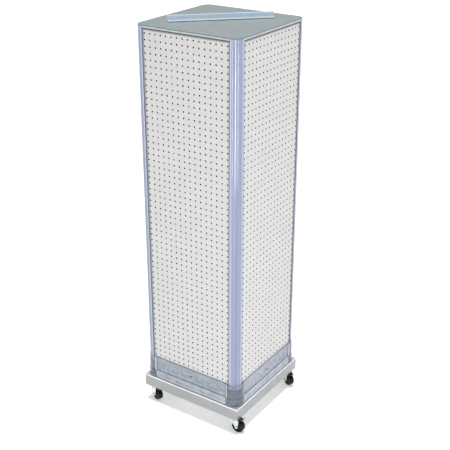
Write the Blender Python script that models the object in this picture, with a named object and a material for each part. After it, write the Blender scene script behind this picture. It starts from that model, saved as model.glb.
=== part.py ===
"""Four-sided pegboard display tower that turns on a low metal dolly with four braked swivel casters.

Frame: origin on the floor on the tower's turning axis, +Z up, front panel facing -Y, right panel facing +X.
Sizes are written in inches and turned into metres where a mesh is made.
"""

import math

import bmesh
import bpy
from mathutils import Matrix, Vector

INCH = 0.0254
GAP = 0.012

# Casters
WHEEL_RADIUS = 1.125
WHEEL_WIDTH = 0.94
WHEEL_HUB_RADIUS = 0.36
WHEEL_DISH_DEPTH = 0.1
CASTER_TRAIL = 0.75
CASTER_HEIGHT = 2.9
CASTER_INSET = 1.2
MOUNT_PLATE_SIDE = 2.1
MOUNT_PLATE_THICKNESS = 0.1
RACEWAY_RADIUS = 0.92
RACEWAY_DEPTH = 0.17
FORK_SHEET = 0.1
FORK_CROWN_TOP = 2.57
FORK_INNER_HALF = 0.56
FORK_REAR = 0.72
FORK_FRONT = 1.1
BRAKE_WINDOW_BACK = 0.74
BRAKE_WINDOW_HALF = 0.52
AXLE_RADIUS = 0.125
AXLE_BOSS_RADIUS = 0.27
HEX_RADIUS = 0.23
HEX_HEIGHT = 0.14
BUSHING_RADIUS = 0.19
KINGPIN_RADIUS = 0.165
KINGPIN_HEAD_RADIUS = 0.28
BRAKE_PIVOT = (0.96, 2.41)
BRAKE_HUB_RADIUS = 0.1
BRAKE_ARM = 0.74
BRAKE_HALF_WIDTH = 0.44
BRAKE_PIN_RADIUS = 0.05
BRAKE_LIFT_DEG = 18.0

# Dolly pan
PAN_HALF = 9.75
PAN_DEPTH = 2.2
PAN_SHEET = 0.06
PAN_BEND = 0.07
PAN_FLANGE = 0.9
PAN_CORNER_WEB = 3.2

# Bearing between pan and tower
BEARING_HALF = 3.0
BEARING_HEIGHT = 0.34
BEARING_SHEET = 0.06
BEARING_HOLE = 1.45
BALL_TRACK_RADIUS = 2.0
BALL_RADIUS = 0.094
BALL_COUNT = 8
CAGE_HALF_WIDTH = 0.06
CAGE_HALF_HEIGHT = 0.02
LOWER_RIM_RADII = (2.16, 2.24)
UPPER_RIM_RADII = (1.76, 1.84)

# Tower
PANEL_FACE = 9.283
PANEL_THICKNESS = 0.19
PANEL_HALF_WIDTH = 8.24
PANEL_SLOT_END = 8.3
POST_CENTRE = 8.0
POST_RADIUS = 1.4
POST_SKIN = 0.1
POST_LIP = 7.95
TRAY_TOP = 9.25
TRAY_FACE = 9.42
TRAY_WALL = 0.1
TRAY_FOOT_FACE = 9.55
TRAY_FOOT_TOP = 6.6
TRAY_LIFT = 0.09
TRAY_FLOOR = 0.12
TRAY_LEDGE = 0.12
SEAT_DEPTH = 1.0
SEAT_HALF = 8.85
SEAT_CORNER_RADIUS = 1.05
COLLAR_CENTRE = 7.9
COLLAR_RADIUS = 1.7
LID_TOP = 67.0
LID_PLATE = 0.15
LID_SKIRT_DEPTH = 0.4
LID_SKIRT_WALL = 0.1
LID_RIM_HALF = 8.9
LID_RIM_WALL = 0.1
LID_RIM_DEPTH = 1.2
LID_RIM_CORNER = 1.2
SIGN_LENGTH = 16.35
SIGN_HEIGHT = 1.0
SIGN_WIDTH = 0.5
SIGN_WALL = 0.12
SIGN_BASE = 0.3
SCREW_HEIGHT = 7.8
SCREW_HEAD_RADIUS = 0.2
SCREW_SHANK_RADIUS = 0.09

AXLE_HEIGHT = WHEEL_RADIUS
PAN_BOTTOM = CASTER_HEIGHT
PAN_TOP = PAN_BOTTOM + PAN_DEPTH
TRAY_UNDERSIDE = PAN_TOP + GAP + BEARING_HEIGHT + GAP
SEAT_HEIGHT = TRAY_TOP - SEAT_DEPTH
TOWER_BOTTOM = SEAT_HEIGHT + GAP
LID_UNDERSIDE = LID_TOP - LID_PLATE
TOWER_TOP = LID_UNDERSIDE - GAP

CORNERS = {
    "front_right": (1, -1),
    "rear_right": (1, 1),
    "rear_left": (-1, 1),
    "front_left": (-1, -1),
}
SIDES = ("front", "right", "rear", "left")
CASTER_REST_DEG = {"front_right": 0.0, "rear_right": -25.0, "rear_left": 180.0, "front_left": -20.0}
BRAKE_UP_AT_REST = ("front_right",)


# Scene and mesh helpers


def clear_scene():
    for item in list(bpy.data.objects):
        bpy.data.objects.remove(item, do_unlink=True)


def make_material(name, colour, roughness, metallic=0.0, alpha=1.0):
    material = bpy.data.materials.new(name)
    material.use_nodes = True
    shader = material.node_tree.nodes["Principled BSDF"]
    shader.inputs["Base Color"].default_value = (*colour, 1.0)
    shader.inputs["Roughness"].default_value = roughness
    shader.inputs["Metallic"].default_value = metallic
    shader.inputs["Alpha"].default_value = alpha
    return material


def empty(name, location=(0, 0, 0), turn_z=0.0, parent=None):
    item = bpy.data.objects.new(name, None)
    item.location = Vector(location) * INCH
    item.rotation_euler = (0, 0, turn_z)
    item.parent = parent
    bpy.context.scene.collection.objects.link(item)
    return item


def add_object(name, mesh, material, location=(0, 0, 0), turn_z=0.0, parent=None):
    item = bpy.data.objects.new(name, mesh)
    item.location = Vector(location) * INCH
    item.rotation_euler = (0, 0, turn_z)
    item.parent = parent
    if material is not None:
        item.data.materials.append(material)
    bpy.context.scene.collection.objects.link(item)
    return item


def finish_mesh(name, bm, smooth_angle=35):
    """Turns inches into metres, points every face outwards and shades round stretches smooth."""
    bmesh.ops.scale(bm, vec=(INCH, INCH, INCH), verts=bm.verts)
    bmesh.ops.recalc_face_normals(bm, faces=bm.faces)
    mesh = bpy.data.meshes.new(name)
    bm.to_mesh(mesh)
    bm.free()
    mesh.shade_smooth()
    mesh.set_sharp_from_angle(angle=math.radians(smooth_angle))
    return mesh


def loft(rings, closed=False):
    """A closed body through rings of equal length. An open stack gets a cap at each end."""
    bm = bmesh.new()
    loops = [[bm.verts.new(point) for point in ring] for ring in rings]
    count = len(rings[0])
    pairs = list(zip(loops, loops[1:]))
    if closed:
        pairs.append((loops[-1], loops[0]))
    for lower, upper in pairs:
        for i in range(count):
            j = (i + 1) % count
            bm.faces.new((lower[i], lower[j], upper[j], upper[i]))
    if not closed:
        bm.faces.new(loops[0])
        bm.faces.new(loops[-1])
    return bm


def prism(outline, low, high):
    return loft([[(x, y, z) for x, y in outline] for z in (low, high)])


def side_prism(outline, low, high):
    """A prism whose outline lies in X-Z and which runs along Y from low to high."""
    return loft([[(x, y, z) for x, z in outline] for y in (low, high)])


def circle(radius, count, centre=(0, 0), start=0.0):
    step = 2 * math.pi / count
    return [
        (centre[0] + radius * math.cos(start + i * step), centre[1] + radius * math.sin(start + i * step))
        for i in range(count)
    ]


def turned_rings(profile, count, axis):
    """One ring of points for each (radius, height). A third entry, True, makes that ring hexagonal."""
    rings = []
    for radius, height, *hexagonal in profile:
        points = circle(radius, count, start=-math.pi / 2)
        if any(hexagonal):
            flat = math.cos(math.pi / 6)
            points = [(a * flat, b * flat) if i % 2 else (a, b) for i, (a, b) in enumerate(points)]
        rings.append([(a, b, height) if axis == "Z" else (a, height, b) for a, b in points])
    return rings


def turned(profile, count, axis="Z"):
    """A ring-shaped body: the closed profile goes round the axis."""
    return loft(turned_rings(profile, count, axis), closed=True)


def turned_solid(profile, count, axis="Z"):
    """A turned body with no bore, capped at both ends."""
    return loft(turned_rings(profile, count, axis))


def rounded_square(half, radius, z, steps=5):
    """Rounded square outline as one ring of points, anticlockwise from the front right corner."""
    centre = half - radius
    points = []
    for k, (sx, sy) in enumerate(CORNERS.values()):
        for i in range(steps + 1):
            angle = math.radians(-90 + 90 * k + 90 * i / steps)
            points.append((sx * centre + radius * math.cos(angle), sy * centre + radius * math.sin(angle), z))
    return points


def box_mesh(half_x, half_y, low, high):
    return prism([(-half_x, -half_y), (half_x, -half_y), (half_x, half_y), (-half_x, half_y)], low, high)


def cutter(name, bm, location=(0, 0, 0), parent=None):
    item = add_object(name, finish_mesh(name, bm), None, location, parent=parent)
    item.hide_render = True
    item.display_type = "WIRE"
    return item


def boolean(item, operation, other):
    modifier = item.modifiers.new(f"{operation.lower()}_{other.name}", "BOOLEAN")
    modifier.operation = operation
    modifier.object = other
    modifier.solver = "EXACT"


# Dolly


def make_pan(materials):
    """Folded sheet tray, open below, with an inward flange whose corner webs carry the casters."""
    inner = PAN_HALF - PAN_SHEET
    cavity = loft(
        [
            rounded_square(inner, PAN_BEND, PAN_TOP - PAN_SHEET, 2),
            rounded_square(inner, PAN_BEND, PAN_BOTTOM + PAN_SHEET, 2),
        ]
    )
    mouth = prism(mouth_outline(PAN_HALF - PAN_FLANGE), PAN_BOTTOM - 0.5, PAN_BOTTOM + 0.5)
    shell = loft(
        [
            rounded_square(PAN_HALF, PAN_BEND, PAN_BOTTOM, 2),
            rounded_square(PAN_HALF, PAN_BEND, PAN_TOP - PAN_SHEET, 2),
            rounded_square(PAN_HALF - PAN_SHEET, PAN_BEND, PAN_TOP, 2),
        ]
    )
    pan = add_object("dolly_pan", finish_mesh("dolly_pan", shell), materials["pan_metal"])
    boolean(pan, "DIFFERENCE", cutter("cut_pan_cavity", cavity))
    boolean(pan, "DIFFERENCE", cutter("cut_pan_mouth", mouth))
    return pan


def mouth_outline(mouth):
    """Octagon: straight flange edges, with each corner cut off by a web."""
    cut = PAN_HALF - PAN_CORNER_WEB
    outline = []
    for sx, sy in CORNERS.values():
        first = (sx * cut, sy * mouth)
        second = (sx * mouth, sy * cut)
        outline += [first, second] if sx * sy < 0 else [second, first]
    return outline


def make_caster(corner, materials):
    """One caster: plate and kingpin stay with the pan; fork, wheel and brake swivel below them."""
    sx, sy = CORNERS[corner]
    reach = PAN_HALF - CASTER_INSET
    place = (sx * reach, sy * reach, 0)
    turn = math.radians(CASTER_REST_DEG[corner])
    fixed = empty(f"caster_{corner}_mount", place)
    swivel = empty(f"caster_{corner}_swivel", place, turn)
    make_mount_plate(corner, materials, fixed)
    make_kingpin(corner, materials, fixed)
    make_fork(corner, materials, swivel)
    make_axle_set(corner, materials, swivel)
    make_wheel(corner, materials, swivel)
    make_brake(corner, materials, swivel)


def make_mount_plate(corner, materials, parent):
    half = MOUNT_PLATE_SIDE / 2
    top = PAN_BOTTOM - GAP
    low = top - MOUNT_PLATE_THICKNESS
    body = loft([rounded_square(half, 0.25, z, 3) for z in (low, top)])
    name = f"caster_plate_{corner}"
    plate = add_object(name, finish_mesh(name, body), materials["zinc"], parent=parent)
    race_profile = [
        (RACEWAY_RADIUS - 0.08, low - RACEWAY_DEPTH),
        (RACEWAY_RADIUS, low - 0.06),
        (RACEWAY_RADIUS, low + 0.05),
    ]
    race = turned_solid(race_profile, 24)
    boolean(plate, "UNION", cutter(f"add_race_{corner}", race, parent=parent))
    bore = turned_solid([(KINGPIN_RADIUS + GAP, low - 0.5), (KINGPIN_RADIUS + GAP, top + 0.5)], 16)
    boolean(plate, "DIFFERENCE", cutter(f"cut_plate_bore_{corner}", bore, parent=parent))
    return plate


def make_kingpin(corner, materials, parent):
    """Riveted pin: its head holds the fork's crown up against the raceway."""
    head_top = FORK_CROWN_TOP - FORK_SHEET - GAP
    profile = [
        (KINGPIN_HEAD_RADIUS - 0.08, head_top - 0.1),
        (KINGPIN_HEAD_RADIUS, head_top - 0.06),
        (KINGPIN_HEAD_RADIUS, head_top),
        (KINGPIN_RADIUS, head_top),
        (KINGPIN_RADIUS, PAN_BOTTOM - 2 * GAP),
    ]
    name = f"caster_kingpin_{corner}"
    return add_object(name, finish_mesh(name, turned_solid(profile, 16)), materials["zinc"], parent=parent)


def leg_outline():
    """Fork leg in X-Z: wide under the crown, tapering to a round boss at the axle."""
    boss = AXLE_BOSS_RADIUS
    points = [(-FORK_REAR, FORK_CROWN_TOP), (-FORK_REAR, FORK_CROWN_TOP - 0.2)]
    for i in range(7):
        angle = math.radians(200 + 26 * i)
        points.append((CASTER_TRAIL + boss * math.cos(angle), AXLE_HEIGHT + boss * math.sin(angle)))
    points += [(FORK_FRONT - 0.06, 1.75), (FORK_FRONT, 2.25), (FORK_FRONT, FORK_CROWN_TOP)]
    return points


def make_fork(corner, materials, parent):
    outer = FORK_INNER_HALF + FORK_SHEET
    name = f"caster_fork_{corner}"
    legs = side_prism(leg_outline(), -outer, outer)
    fork = add_object(name, finish_mesh(name, legs), materials["zinc"], parent=parent)
    space = prism(strip_outline(-2, FORK_INNER_HALF), 0.2, FORK_CROWN_TOP - FORK_SHEET)
    window = prism(strip_outline(BRAKE_WINDOW_BACK, BRAKE_WINDOW_HALF), 2.0, 3.0)
    crown_bore = turned_solid([(KINGPIN_RADIUS + GAP, 2.0), (KINGPIN_RADIUS + GAP, 3.0)], 16)
    axle_bore = turned_solid([(AXLE_RADIUS + GAP, -1), (AXLE_RADIUS + GAP, 1)], 12, "Y")
    brake_bore = turned_solid([(BRAKE_PIN_RADIUS + GAP, -1), (BRAKE_PIN_RADIUS + GAP, 1)], 8, "Y")
    cuts = {
        "fork_space": (space, (0, 0, 0)),
        "brake_window": (window, (0, 0, 0)),
        "crown_bore": (crown_bore, (0, 0, 0)),
        "axle_bore": (axle_bore, (CASTER_TRAIL, 0, AXLE_HEIGHT)),
        "brake_bore": (brake_bore, (BRAKE_PIVOT[0], 0, BRAKE_PIVOT[1])),
    }
    for kind, (body, place) in cuts.items():
        boolean(fork, "DIFFERENCE", cutter(f"cut_{kind}_{corner}", body, place, parent))
    return fork


def strip_outline(back, half):
    """Rectangle of the given half width that runs forward from back to well past the fork."""
    return [(back, -half), (3, -half), (3, half), (back, half)]


def make_axle_set(corner, materials, parent):
    """Hex bolt through both legs, its nut, and the steel bushing that the wheel turns on."""
    place = (CASTER_TRAIL, 0, AXLE_HEIGHT)
    outer = FORK_INNER_HALF + FORK_SHEET + GAP
    bolt = [
        (HEX_RADIUS, -outer - HEX_HEIGHT, True),
        (HEX_RADIUS, -outer, True),
        (AXLE_RADIUS, -outer),
        (AXLE_RADIUS, outer + 0.2),
    ]
    bore = AXLE_RADIUS + GAP
    nut_end = outer + HEX_HEIGHT
    nut = [(bore, outer), (HEX_RADIUS, outer, True), (HEX_RADIUS, nut_end, True), (bore, nut_end)]
    half = FORK_INNER_HALF - GAP
    sleeve = [(bore, -half), (BUSHING_RADIUS, -half), (BUSHING_RADIUS, half), (bore, half)]
    bodies = {
        "axle": turned_solid(bolt, 12, "Y"),
        "nut": turned(nut, 12, "Y"),
        "bushing": turned(sleeve, 12, "Y"),
    }
    for kind, body in bodies.items():
        name = f"caster_{kind}_{corner}"
        add_object(name, finish_mesh(name, body), materials["zinc"], place, parent=parent)


def make_wheel(corner, materials, parent):
    """Solid black wheel: rounded tread, recessed sides and a raised hub round the bore."""
    half = WHEEL_WIDTH / 2
    bore = BUSHING_RADIUS + GAP
    side = [
        (bore, half),
        (WHEEL_HUB_RADIUS, half),
        (WHEEL_HUB_RADIUS + 0.06, half - WHEEL_DISH_DEPTH),
        (WHEEL_RADIUS - 0.325, half - WHEEL_DISH_DEPTH),
        (WHEEL_RADIUS - 0.245, half - 0.01),
        (WHEEL_RADIUS - 0.1, half - 0.01),
        (WHEEL_RADIUS, half - 0.18),
    ]
    profile = side + [(radius, -y) for radius, y in reversed(side)]
    name = f"caster_wheel_{corner}"
    mesh = finish_mesh(name, turned(profile, 24, "Y"))
    return add_object(name, mesh, materials["wheel_black"], (CASTER_TRAIL, 0, AXLE_HEIGHT), parent=parent)


def pedal_outline():
    """Brake lever in X-Z about its pivot: round hub, flat arm and an upturned toe."""
    hub = BRAKE_HUB_RADIUS
    arm = BRAKE_ARM
    points = []
    for i in range(6):
        angle = math.radians(100 + 36 * i)
        points.append((hub * math.cos(angle), hub * math.sin(angle)))
    points += [(arm, -0.06), (arm + 0.1, 0.14), (arm + 0.03, 0.16), (arm - 0.06, 0.03), (hub, hub - 0.01)]
    return points


def make_brake(corner, materials, parent):
    lift = BRAKE_LIFT_DEG if corner in BRAKE_UP_AT_REST else 0.0
    body = side_prism(pedal_outline(), -BRAKE_HALF_WIDTH, BRAKE_HALF_WIDTH)
    bmesh.ops.rotate(body, verts=body.verts, matrix=Matrix.Rotation(-math.radians(lift), 3, "Y"))
    place = (BRAKE_PIVOT[0], 0, BRAKE_PIVOT[1])
    name = f"caster_brake_{corner}"
    pedal = add_object(name, finish_mesh(name, body), materials["brake_black"], place, parent=parent)
    bore = turned_solid([(BRAKE_PIN_RADIUS + GAP, -1), (BRAKE_PIN_RADIUS + GAP, 1)], 8, "Y")
    boolean(pedal, "DIFFERENCE", cutter(f"cut_pedal_bore_{corner}", bore, place, parent))
    outer = FORK_INNER_HALF + FORK_SHEET + 0.03
    pin = finish_mesh("brake_pin", turned_solid([(BRAKE_PIN_RADIUS, -outer), (BRAKE_PIN_RADIUS, outer)], 8, "Y"))
    add_object(f"caster_brake_pin_{corner}", pin, materials["zinc"], place, parent=parent)
    return pedal


# Bearing


def make_bearing_plate(name, materials, face, inward, rim_radii, parent=None):
    """Square plate with a round rim that keeps the balls in. face is its outer side; inward is +1 or -1."""
    low, high = sorted((face, face + inward * BEARING_SHEET))
    body = loft([rounded_square(BEARING_HALF, 0.3, z, 2) for z in (low, high)])
    plate = add_object(name, finish_mesh(name, body), materials["zinc"], parent=parent)
    rim_reach = BEARING_HEIGHT - BEARING_SHEET - 0.03
    rim_low, rim_high = sorted((face + inward * 0.02, face + inward * rim_reach))
    inner, outer = rim_radii
    rim = turned([(inner, rim_low), (outer, rim_low), (outer, rim_high), (inner, rim_high)], 32)
    boolean(plate, "UNION", cutter(f"add_rim_{name}", rim))
    hole = turned_solid([(BEARING_HOLE, low - 0.5), (BEARING_HOLE, high + 0.5)], 32)
    boolean(plate, "DIFFERENCE", cutter(f"cut_hole_{name}", hole))
    return plate


def make_ball_ring(materials):
    """Flat cage with balls round it, midway between the two bearing plates."""
    middle = PAN_TOP + GAP + BEARING_HEIGHT / 2
    low = middle - CAGE_HALF_HEIGHT
    high = middle + CAGE_HALF_HEIGHT
    inner = BALL_TRACK_RADIUS - CAGE_HALF_WIDTH
    outer = BALL_TRACK_RADIUS + CAGE_HALF_WIDTH
    cage = turned([(inner, low), (outer, low), (outer, high), (inner, high)], 48)
    ring = add_object("bearing_ball_ring", finish_mesh("bearing_ball_ring", cage), materials["ball_steel"])
    for i in range(BALL_COUNT):
        angle = 2 * math.pi * i / BALL_COUNT
        ball = bmesh.new()
        bmesh.ops.create_uvsphere(ball, u_segments=8, v_segments=5, radius=BALL_RADIUS)
        place = (BALL_TRACK_RADIUS * math.cos(angle), BALL_TRACK_RADIUS * math.sin(angle), middle)
        boolean(ring, "UNION", cutter(f"add_ball_{i}", ball, place))
    return ring


def make_bearing(materials, tower):
    bottom = PAN_TOP + GAP
    make_bearing_plate("bearing_lower_plate", materials, bottom, 1, LOWER_RIM_RADII)
    make_bearing_plate("bearing_upper_plate", materials, bottom + BEARING_HEIGHT, -1, UPPER_RIM_RADII, tower)
    make_ball_ring(materials)


# Tower


def tray_ring(face, radius, z, steps=6):
    """Tray outline at one height: straight walls at face, and a round collar bulging out at each corner."""
    reach = math.sqrt(radius**2 - (face - COLLAR_CENTRE) ** 2)
    first = math.atan2(face - COLLAR_CENTRE, -reach)
    sweep = 2 * (first - math.radians(45))
    points = []
    for k, (sx, sy) in enumerate(CORNERS.values()):
        middle = math.radians(-45 + 90 * k)
        for i in range(steps + 1):
            angle = middle - sweep / 2 + sweep * i / steps
            across = sx * COLLAR_CENTRE + radius * math.cos(angle)
            points.append((across, sy * COLLAR_CENTRE + radius * math.sin(angle), z))
    return points


def make_tray(materials, parent):
    """Clear moulded base: foot rim, walls with round collars, a seat for posts and panels, and a floor."""
    foot = TRAY_FOOT_FACE
    foot_radius = COLLAR_RADIUS + 0.05
    foot_bottom = PAN_TOP + TRAY_LIFT
    inner = TRAY_FACE - TRAY_WALL
    inner_radius = COLLAR_RADIUS - TRAY_WALL
    low_inner = inner - 0.03
    low_radius = inner_radius - 0.03
    rings = [
        tray_ring(foot - 0.12, foot_radius - 0.1, TRAY_UNDERSIDE),
        tray_ring(foot - 0.12, foot_radius - 0.1, foot_bottom),
        tray_ring(foot, foot_radius, foot_bottom),
        tray_ring(foot, foot_radius, TRAY_FOOT_TOP - 0.06),
        tray_ring(TRAY_FACE, COLLAR_RADIUS, TRAY_FOOT_TOP),
        tray_ring(TRAY_FACE, COLLAR_RADIUS, TRAY_TOP),
        tray_ring(inner, inner_radius, TRAY_TOP),
        tray_ring(inner, inner_radius, SEAT_HEIGHT),
        tray_ring(SEAT_HALF, SEAT_CORNER_RADIUS, SEAT_HEIGHT),
        tray_ring(SEAT_HALF, SEAT_CORNER_RADIUS, SEAT_HEIGHT - TRAY_LEDGE),
        tray_ring(low_inner, low_radius, SEAT_HEIGHT - TRAY_LEDGE),
        tray_ring(low_inner, low_radius, TRAY_UNDERSIDE + TRAY_FLOOR),
    ]
    mesh = finish_mesh("base_tray", loft(rings))
    tray = add_object("base_tray", mesh, materials["clear_base"], parent=parent)
    for side, name in enumerate(SIDES):
        hole = turned_solid([(SCREW_SHANK_RADIUS + GAP, -10), (SCREW_SHANK_RADIUS + GAP, -9)], 10, "Y")
        bmesh.ops.rotate(hole, verts=hole.verts, matrix=Matrix.Rotation(side * math.pi / 2, 3, "Z"))
        boolean(tray, "DIFFERENCE", cutter(f"cut_screw_{name}", hole, (0, 0, SCREW_HEIGHT), parent))
    return tray


def make_screws(materials, parent):
    """One domed screw through the middle of each tray wall."""
    face = TRAY_FACE + GAP
    profile = [
        (SCREW_HEAD_RADIUS * 0.5, -face - 0.1),
        (SCREW_HEAD_RADIUS * 0.9, -face - 0.07),
        (SCREW_HEAD_RADIUS, -face),
        (SCREW_SHANK_RADIUS, -face),
        (SCREW_SHANK_RADIUS, -face + 0.35),
    ]
    for side, name in enumerate(SIDES):
        mesh = finish_mesh(f"tray_screw_{name}", turned_solid(profile, 10, "Y"))
        turn = side * math.pi / 2
        add_object(f"tray_screw_{name}", mesh, materials["screw"], (0, 0, SCREW_HEIGHT), turn, parent)


def post_outline():
    """Corner post section in the front right corner: quarter-round skin and a slot for each panel's edge."""
    outer = POST_CENTRE + POST_RADIUS
    slot_outer = outer - POST_SKIN
    slot_inner = PANEL_FACE - PANEL_THICKNESS - 0.02
    lip_inner = slot_inner - 0.09
    wall = PANEL_SLOT_END + POST_SKIN
    inner_radius = POST_RADIUS - POST_SKIN
    first = math.asin((wall - POST_CENTRE) / inner_radius)
    points = quarter_arc(POST_RADIUS, -math.pi / 2, 0, 10)
    half = [
        (outer, -POST_LIP),
        (slot_outer, -POST_LIP),
        (slot_outer, -PANEL_SLOT_END),
        (slot_inner, -PANEL_SLOT_END),
        (slot_inner, -POST_LIP),
        (lip_inner, -POST_LIP),
        (lip_inner, -wall),
    ]
    points += half
    points += quarter_arc(inner_radius, -first, first - math.pi / 2, 6)
    points += [(-y, -x) for x, y in reversed(half)]
    return points


def quarter_arc(radius, start, end, steps):
    """Points from one angle to another about the front right post's centre."""
    points = []
    for i in range(steps + 1):
        angle = start + (end - start) * i / steps
        points.append((POST_CENTRE + radius * math.cos(angle), -POST_CENTRE + radius * math.sin(angle)))
    return points


def make_posts(materials, parent):
    for k, corner in enumerate(CORNERS):
        name = f"corner_post_{corner}"
        mesh = finish_mesh(name, prism(post_outline(), TOWER_BOTTOM, TOWER_TOP))
        add_object(name, mesh, materials["clear_post"], turn_z=k * math.pi / 2, parent=parent)


def make_panels(materials, parent):
    inner = PANEL_FACE - PANEL_THICKNESS
    outline = [
        (-PANEL_HALF_WIDTH, -PANEL_FACE),
        (PANEL_HALF_WIDTH, -PANEL_FACE),
        (PANEL_HALF_WIDTH, -inner),
        (-PANEL_HALF_WIDTH, -inner),
    ]
    for side, name in enumerate(SIDES):
        mesh = finish_mesh(f"peg_panel_{name}", prism(outline, TOWER_BOTTOM, TOWER_TOP))
        turn = side * math.pi / 2
        add_object(f"peg_panel_{name}", mesh, materials["panel_white"], turn_z=turn, parent=parent)


def make_lid(materials, parent):
    """Moulded plate with a skirt down each side between the posts, and a rim inside the panels."""
    half = POST_CENTRE + POST_RADIUS
    bevel = 0.03
    plate = loft(
        [
            rounded_square(half, POST_RADIUS, LID_UNDERSIDE),
            rounded_square(half, POST_RADIUS, LID_TOP - bevel),
            rounded_square(half - bevel, POST_RADIUS - bevel, LID_TOP),
        ]
    )
    lid = add_object("lid", finish_mesh("lid", plate), materials["clear_lid"], parent=parent)
    overlap = LID_UNDERSIDE + LID_PLATE / 2
    skirt_half = POST_LIP - 0.03
    low = LID_UNDERSIDE - LID_SKIRT_DEPTH
    outline = [
        (-skirt_half, -half),
        (skirt_half, -half),
        (skirt_half, LID_SKIRT_WALL - half),
        (-skirt_half, LID_SKIRT_WALL - half),
    ]
    for side, name in enumerate(SIDES):
        skirt = prism(outline, low, overlap)
        bmesh.ops.rotate(skirt, verts=skirt.verts, matrix=Matrix.Rotation(side * math.pi / 2, 3, "Z"))
        boolean(lid, "UNION", cutter(f"add_skirt_{name}", skirt, parent=parent))
    bottom = LID_UNDERSIDE - LID_RIM_DEPTH
    inner = LID_RIM_HALF - LID_RIM_WALL
    inner_corner = LID_RIM_CORNER - LID_RIM_WALL
    rim = loft(
        [
            rounded_square(LID_RIM_HALF, LID_RIM_CORNER, bottom),
            rounded_square(LID_RIM_HALF, LID_RIM_CORNER, overlap),
            rounded_square(inner, inner_corner, overlap),
            rounded_square(inner, inner_corner, bottom),
        ],
        closed=True,
    )
    boolean(lid, "UNION", cutter("add_rim", rim, parent=parent))
    return lid


def make_sign_holder(materials, parent):
    """Upright U channel along the lid's diagonal, open at the top for a card sign."""
    half = SIGN_WIDTH / 2
    slot = half - SIGN_WALL
    base = LID_TOP + GAP
    top = base + SIGN_HEIGHT
    floor = base + SIGN_BASE
    outline = [
        (-half, base),
        (half, base),
        (half, top),
        (slot, top),
        (slot, floor),
        (-slot, floor),
        (-slot, top),
        (-half, top),
    ]
    ends = (-SIGN_LENGTH / 2, SIGN_LENGTH / 2)
    body = loft([[(along, across, z) for across, z in outline] for along in ends])
    mesh = finish_mesh("sign_holder", body)
    return add_object("sign_holder", mesh, materials["clear_sign"], turn_z=math.pi / 4, parent=parent)


def make_materials():
    return {
        "pan_metal": make_material("pan_metal", (0.55, 0.58, 0.58), 0.4, 0.9),
        "zinc": make_material("zinc", (0.75, 0.78, 0.8), 0.25, 1.0),
        "ball_steel": make_material("ball_steel", (0.6, 0.6, 0.6), 0.2, 1.0),
        "wheel_black": make_material("wheel_black", (0.012, 0.012, 0.014), 0.35),
        "brake_black": make_material("brake_black", (0.01, 0.01, 0.011), 0.45),
        "clear_base": make_material("clear_base", (0.5, 0.55, 0.65), 0.15, alpha=0.6),
        "clear_post": make_material("clear_post", (0.5, 0.55, 0.75), 0.12, alpha=0.7),
        "clear_lid": make_material("clear_lid", (0.5, 0.56, 0.56), 0.2, alpha=0.8),
        "clear_sign": make_material("clear_sign", (0.6, 0.68, 0.82), 0.1, alpha=0.6),
        "panel_white": make_material("panel_white", (0.8, 0.8, 0.77), 0.5),
        "screw": make_material("screw", (0.2, 0.22, 0.26), 0.4, 0.6),
    }


def main():
    clear_scene()
    materials = make_materials()
    tower = empty("tower_turn")
    make_pan(materials)
    for corner in CORNERS:
        make_caster(corner, materials)
    make_bearing(materials, tower)
    make_tray(materials, tower)
    make_screws(materials, tower)
    make_posts(materials, tower)
    make_panels(materials, tower)
    make_lid(materials, tower)
    make_sign_holder(materials, tower)


main()
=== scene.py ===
"""Looks for a four-sided pegboard display tower on a wheeled dolly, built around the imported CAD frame.

Sizes are written in inches and turned into metres where a mesh is made. Heights and faces come from the CAD
nodes' boxes. +Z is up, the front panel faces -Y and the right panel faces +X.
"""

import math

import bpy
from mathutils import Matrix, Vector


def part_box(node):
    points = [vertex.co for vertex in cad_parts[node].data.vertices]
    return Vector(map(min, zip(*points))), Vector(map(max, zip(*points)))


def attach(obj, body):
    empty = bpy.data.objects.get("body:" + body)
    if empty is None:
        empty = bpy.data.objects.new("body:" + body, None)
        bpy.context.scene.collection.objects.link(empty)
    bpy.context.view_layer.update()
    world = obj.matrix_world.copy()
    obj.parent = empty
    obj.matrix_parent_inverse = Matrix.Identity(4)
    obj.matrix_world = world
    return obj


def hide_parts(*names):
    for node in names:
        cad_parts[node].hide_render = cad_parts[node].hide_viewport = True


INCH = 0.0254

# Pegboard
HOLE_PITCH = 1.0
HOLE_RADIUS = 0.138
HOLE_SIDES = 12
HOLE_COLUMNS = 16
HOLE_ROWS = 57
LOWEST_HOLE = 9.8
FIELD_THICKNESS = 0.12
# How far from its frame the board's shade starts, and where it is full
POST_SHADE = (0.42, 0.2)
LID_SHADE = (0.32, 0.1)
TRAY_SHADE = (0.2, 0.0)

# Corner posts
POST_CENTRE = 8.0
POST_RADIUS = 1.4
POST_LIP = 7.95
POST_SKIN = 0.1
GROOVE_SHARES = (0.2, 0.5, 0.8)
GROOVE_HALF_SHARE = 0.05
GROOVE_DEPTH = 0.03
# Share of the skin at each edge that gets painted light
POST_EDGE_SHARE = 0.1
SLOT_END = 8.3
POST_STEPS = 72
POST_INNER_STEPS = 8
POST_LIP_WALL = 0.09
POST_SLOT_WALL = 0.1
PANEL_CLEARANCE = 0.02
# The post's own tone, the painted shade of its middle and its grooves, and the darker value of its inside
# faces
POST_BASE_TINT = 0.45
POST_MIDDLE_SHADE = 0.16
POST_GROOVE_SHADE = 0.12
POST_INSIDE_TINT = 0.1

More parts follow.
